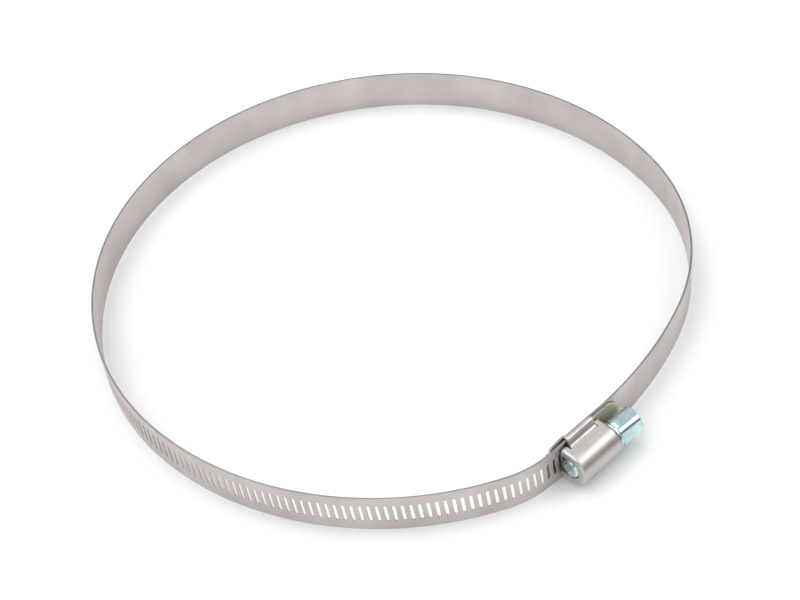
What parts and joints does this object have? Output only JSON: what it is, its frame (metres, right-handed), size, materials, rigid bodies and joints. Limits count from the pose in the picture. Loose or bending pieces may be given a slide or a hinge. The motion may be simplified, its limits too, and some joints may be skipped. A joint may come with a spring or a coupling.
{
  "type": "worm-drive hose clamp",
  "caption": "Perforated metal band that closes on itself through a domed housing with a leaning hex-headed worm screw; the screw draws the slotted end through.",
  "frame": {"origin": "centre of the hose seat, half way up the band", "axes": "+Z runs across the band's width along the hose; the housing is on the -Y side; the screw runs along X with its head towards +X"},
  "size_m": [0.1695, 0.1757, 0.0142],
  "materials": {
    "band_steel": "satin rolled stainless strip with sheared edges",
    "housing_steel": "satin pressed stainless sheet",
    "zinc_plate": "bright blue zinc plate on steel"
  },
  "bodies": {
    "housing": {"housing": "housing_steel", "plain_band": "band_steel", "slotted_band": "band_steel"},
    "screw": {"worm_screw": "zinc_plate"},
    "tongue": {"band_tongue": "band_steel"}
  },
  "joints": [
    {"name": "screw_turn", "type": "hinge", "parent": "housing", "child": "screw", "pos_m": [-0.01639, -0.0872, 0], "axis": [-0.9982, 0.0593, 0], "range_deg": [-720, 720]},
    {"name": "band_slide", "type": "slide", "parent": "housing", "child": "tongue", "axis": [1, 0, 0], "range_m": [-0.00442, 0.00442], "deforming": ["slotted_band"]}
  ],
  "couplings": [
    {"joint": "band_slide", "follows": "screw_turn", "m_per_rad": 0.00035014}
  ]
}
